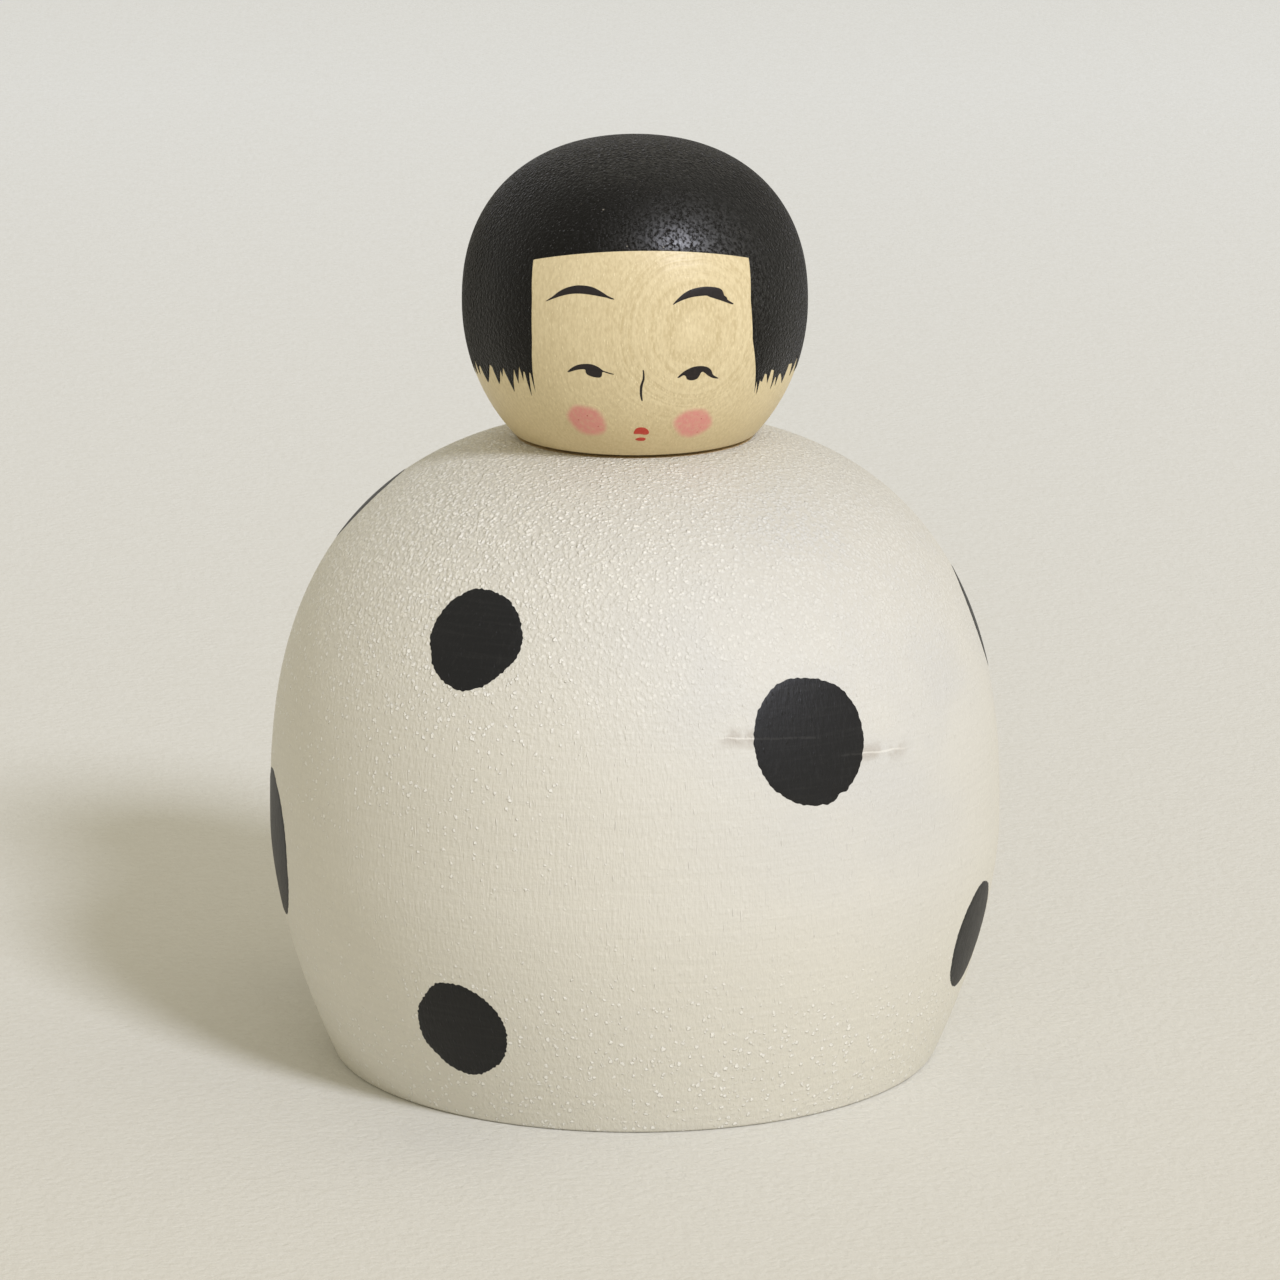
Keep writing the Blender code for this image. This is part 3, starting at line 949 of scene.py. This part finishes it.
hairPaint = {
    "tone": (0.0022, 0.0022, 0.002, 1.0),
    "worn": (0.006, 0.0058, 0.0052, 1.0),
    "speck": (0.36, 0.33, 0.27, 1.0),
    # dust on the crown, also a painted sheen that lightens the top of the head
    "dust": (0.036, 0.035, 0.031, 1.0),
    "pool": (0.0055, -0.0155, 0.0795),
    "poolReach": (0.0115, 0.001),
    "dryFrom": (-0.0115, -0.003),
    "dry": 0.5,
    "pits": (0.33, 0.38, 0.6),
    "specks": (0.42, 0.5, 0.05),
    "grit": (0.32, 0.34, 0.3),
    "roughness": (0.24, 0.18),
    "relief": 0.13,
    "shader": {
        "Specular IOR Level": 0.2,
        "Specular Tint": (1.0, 0.96, 0.87, 1.0),
        "Sheen Weight": 0.12,
        "Sheen Roughness": 0.35,
        "Coat Roughness": 0.4,
        "Coat IOR": 1.72,
    },
}


def makeHairPaint(plan):
    material, tree, shader, place = newMaterial("hair_black", plan["shader"])
    pits, specks, grit = (useFibres(tree, place, *plan[kind]) for kind in ("pits", "specks", "grit"))
    dry = ramp(tree, split(tree, place)[1], *plan["dryFrom"])  # full and glossy over the forehead
    colour = blendColour(tree, ramp(tree, pits["Fibres"], 0.5, 0.8), plan["tone"], plan["worn"])
    # dust on the upward faces of the crown, which is also a painted sheen: it lightens the top of the head
    # as a reflection of the bright room would
    dustAndTopSheen = times(tree, ramp(tree, grit["Fibres"], 0.42, 0.66), ramp(tree, upwards(tree), 0.72, 1.0))
    colour = blendColour(tree, dustAndTopSheen, colour, plan["dust"])
    bare = times(tree, ramp(tree, specks["Pores"], 0.55, 0.85), 0.6)
    colour = blendColour(tree, bare, colour, plan["speck"])
    reach = vectorCalc(tree, "DISTANCE", place, plan["pool"], out="Value")
    gloss = times(tree, ramp(tree, reach, *plan["poolReach"]), ramp(tree, pits["Fibres"], 0.4, 0.62))
    spread, least = plan["roughness"]
    height = scaled(tree, pits["Pores"], -0.8, times(tree, pits["Fibres"], 0.9))
    height = times(tree, height, scaled(tree, dry, -1.1, 1.7))
    height = scaled(tree, grit["Pebbles"], scaled(tree, dry, 1.4, 0.06), height)
    wire(tree, shader, {
        "Base Color": colour,
        "Roughness": scaled(tree, pits["Fibres"], spread, scaled(tree, dry, plan["dry"], least)),
        "Coat Weight": gloss,
        "Normal": bump(tree, height, plan["relief"]),
    })
    return material


brushMarks = (0.3, 1.5, 0.4)
inkPaint = {
    "tone": (0.011, 0.0075, 0.0075, 1.0),
    "worn": (0.034, 0.022, 0.02, 1.0),
    "dust": (0.05, 0.04, 0.035, 1.0),
    "roughness": (0.2, 0.4),
}
dotPaint = {
    "tone": (0.0035, 0.0035, 0.0035, 1.0),
    "worn": (0.018, 0.0177, 0.0167, 1.0),
    "dust": (0.2, 0.2, 0.19, 1.0),
    "roughness": (0.2, 0.4),
}
lipPaint = {
    "tone": (0.52, 0.05, 0.03, 1.0),
    "worn": (0.62, 0.13, 0.085, 1.0),
    "dust": (0.45, 0.04, 0.03, 1.0),
    "roughness": (0.2, 0.35),
}


def makeBrushed(name, plan):
    material, tree, shader, place = newMaterial(name, {"Specular IOR Level": 0.38})
    grain = useFibres(tree, place, *brushMarks)
    brush = useGroup(tree, "brush", {"Place": place, "Streak": 0.35})
    flaw = useGroup(tree, "crack", {"Place": place})
    share = times(tree, ramp(tree, brush["Streaks"], 0.45, 0.75), 0.35)
    share = scaled(tree, ramp(tree, grain["Fibres"], 0.5, 0.75), 0.4, share)
    cracked = times(tree, flaw["Line"], ramp(tree, grain["Fibres"], 0.35, 0.6))
    share = scaled(tree, cracked, 2.0, share)
    colour = blendColour(tree, share, plan["tone"], plan["worn"])
    colour = blendColour(tree, times(tree, brush["Specks"], 0.5), colour, plan["dust"])
    height = scaled(tree, grain["Pores"], 0.7, grain["Fibres"])
    wire(tree, shader, {
        "Base Color": colour,
        "Roughness": scaled(tree, grain["Fibres"], *plan["roughness"]),
        "Normal": bump(tree, height, 0.05),
    })
    return material


rouge = {
    "tone": (0.74, 0.27, 0.245, 1.0),
    "deep": (0.50, 0.085, 0.065, 1.0),
    "fade": 0.75,
    "marks": (0.36, 0.36, 0.14),
    "shader": {"Roughness": 0.45, "Specular IOR Level": 0.5},
}


def makeRouge(plan):  # stamped pink that lets the wood through
    material, tree, shader, place = newMaterial("cheek_rouge", plan["shader"])
    wood, height = woodColour(tree, place, bareWood)
    rim = addNode(tree, "ShaderNodeAttribute", attribute_name="rimDistance").outputs["Fac"]
    fibres = useFibres(tree, place, *plan["marks"])
    patch = calc(tree, "MINIMUM", scaled(tree, fibres["Fibres"], -1.1, 1.4), 0.9)
    cover = times(tree, ramp(tree, rim, 0.02, plan["fade"]), patch)
    colour = blendColour(tree, cover, wood, plan["tone"])
    deep = times(tree, ramp(tree, fibres["Pores"], 0.2, 0.6), ramp(tree, rim, 0.1, 0.5))
    colour = blendColour(tree, deep, colour, plan["deep"])
    wire(tree, shader, {"Base Color": colour, "Normal": bump(tree, height, 0.035)})
    return material


paint = {
    "white": makeWhitePaint(whitePaint),
    "wood": makeWood("pale_wood", bareWood),
    "hair": makeHairPaint(hairPaint),
    "ink": makeBrushed("face_ink", inkPaint),
    "dot": makeBrushed("dot_black", dotPaint),
    "lip": makeBrushed("lip_red", lipPaint),
    "rouge": makeRouge(rouge),
    "peg": makeWood("peg_wood", pegWood),
    "end": makeWood("end_grain", endWood),
}
print("materials:", ", ".join(paint))


def dress():
    body.data.materials.append(paint["white"])
    body.data.materials.append(paint["end"])
    for f in body.data.polygons:  # the underside, the seat and the socket are bare
        r, z = f.center.xy.length / mm, f.center.z / mm
        f.material_index = 1 if z < 0.01 or r < bodyShape["seatRadius"] - 0.2 else 0
    head.data.materials.append(paint["wood"])
    hairPiece.data.materials.append(paint["hair"])
    for name, piece in facePieces.items():
        kind = "lip" if "lip" in name else "rouge" if "cheek" in name else "ink"
        piece.data.materials.append(paint[kind])
    for piece in dotPieces:
        piece.data.materials.append(paint["dot"])
    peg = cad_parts["neck_peg"]
    peg.data.materials.clear()
    peg.data.materials.append(paint["peg"])


dress()


# floor and light
stage = {
    "floorRadius": 2600.0,
    "floorThick": 6.0,
    "near": (0.662, 0.65, 0.59, 1.0),
    "far": (0.812, 0.845, 0.878, 1.0),
    "felt": (0.5, 0.47, 0.4, 1.0),
    "fade": (-80.0, 600.0),
    "sky": (1.0, 0.925, 0.745, 1.0),
    "skyLevel": 0.67,
    "skyLean": (0.14, 0.07, -0.03),
    "backdrop": (0.62, 0.60, 0.55, 1.0),
    "keyAzimuth": 32.7,
    "keyElevation": 41.0,
    "keyDistance": 3.2,
    "keySize": 0.66,
    "keyPower": 62.0,
    "keyColour": (0.96, 0.975, 1.11),
    "shader": {"Roughness": 0.85, "Specular IOR Level": 0.25},
}


def makeFloor(plan):
    edge, under = plan["floorRadius"], -plan["floorThick"]
    outline = [(0.0, under), (edge, under), (edge, 0.0)]
    outline += [(r, 0.0) for r in (1200.0, 500.0, 200.0, 80.0)] + [(0.0, 0.0)]
    floor = turnPiece("floor", outline, 96)
    material, tree, shader, place = newMaterial("floor_paper", plan["shader"])
    place = inMillimetres(tree, place)
    # painted light: the paper is painted darker and warmer in front of the doll, and paler and cooler
    # towards the back
    far = ramp(tree, split(tree, place)[1], *plan["fade"], False)
    felt = times(tree, noise(tree, place, 1.1, 2.0, 0.6), 0.75)
    felt = scaled(tree, noise(tree, place, 0.3), 0.35, felt)
    colour = blendColour(tree, far, plan["near"], plan["far"])
    colour = blendColour(tree, times(tree, ramp(tree, felt, 0.42, 0.7), 0.1), colour, plan["felt"])
    wire(tree, shader, {"Base Color": colour, "Normal": bump(tree, felt, 0.2)})
    floor.data.materials.append(material)


def makeSky(plan):
    world = bpy.data.worlds.new("studio")
    bpy.context.scene.world = world
    world.use_nodes = True
    tree = world.node_tree
    tree.nodes.clear()
    out = addNode(tree, "ShaderNodeOutputWorld")
    way = addNode(tree, "ShaderNodeTexCoord").outputs["Generated"]
    lean = vectorCalc(tree, "DOT_PRODUCT", way, plan["skyLean"], out="Value")
    level = greatest(tree, calc(tree, "ADD", lean, plan["skyLevel"]), 0.15)
    soft = addNode(tree, "ShaderNodeBackground", {"Color": plan["sky"], "Strength": level})
    seen = addNode(tree, "ShaderNodeBackground", {"Color": plan["backdrop"], "Strength": 1.0})
    ray = addNode(tree, "ShaderNodeLightPath").outputs
    direct = greatest(tree, ray["Is Camera Ray"], ray["Is Transmission Ray"], ray["Is Glossy Ray"])
    mix = addNode(tree, "ShaderNodeMixShader", {0: direct, 1: soft.outputs[0], 2: seen.outputs[0]})
    tree.links.new(mix.outputs[0], out.inputs["Surface"])


def makeKey(plan):
    swing, rise = math.radians(plan["keyAzimuth"]), math.radians(plan["keyElevation"])
    way = Vector((math.sin(swing) * math.cos(rise), -math.cos(swing) * math.cos(rise), math.sin(rise)))
    lamp = bpy.data.lights.new("key", "AREA")
    lamp.shape = "DISK"
    lamp.size = plan["keySize"]
    lamp.energy = plan["keyPower"]
    lamp.color = plan["keyColour"]
    key = bpy.data.objects.new("key", lamp)
    key.location = way * plan["keyDistance"] + Vector((0, 0, 0.03))
    key.rotation_euler = (-way).to_track_quat("-Z", "Y").to_euler()
    bpy.context.scene.collection.objects.link(key)


makeFloor(stage)
makeSky(stage)
makeKey(stage)
print("floor and light placed")


# every piece goes with its body
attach(body, "body")
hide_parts("body")
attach(head, "head")
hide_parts("head")
for piece in [hairPiece] + list(facePieces.values()):
    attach(piece, "head")
for piece in dotPieces:
    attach(piece, "body")
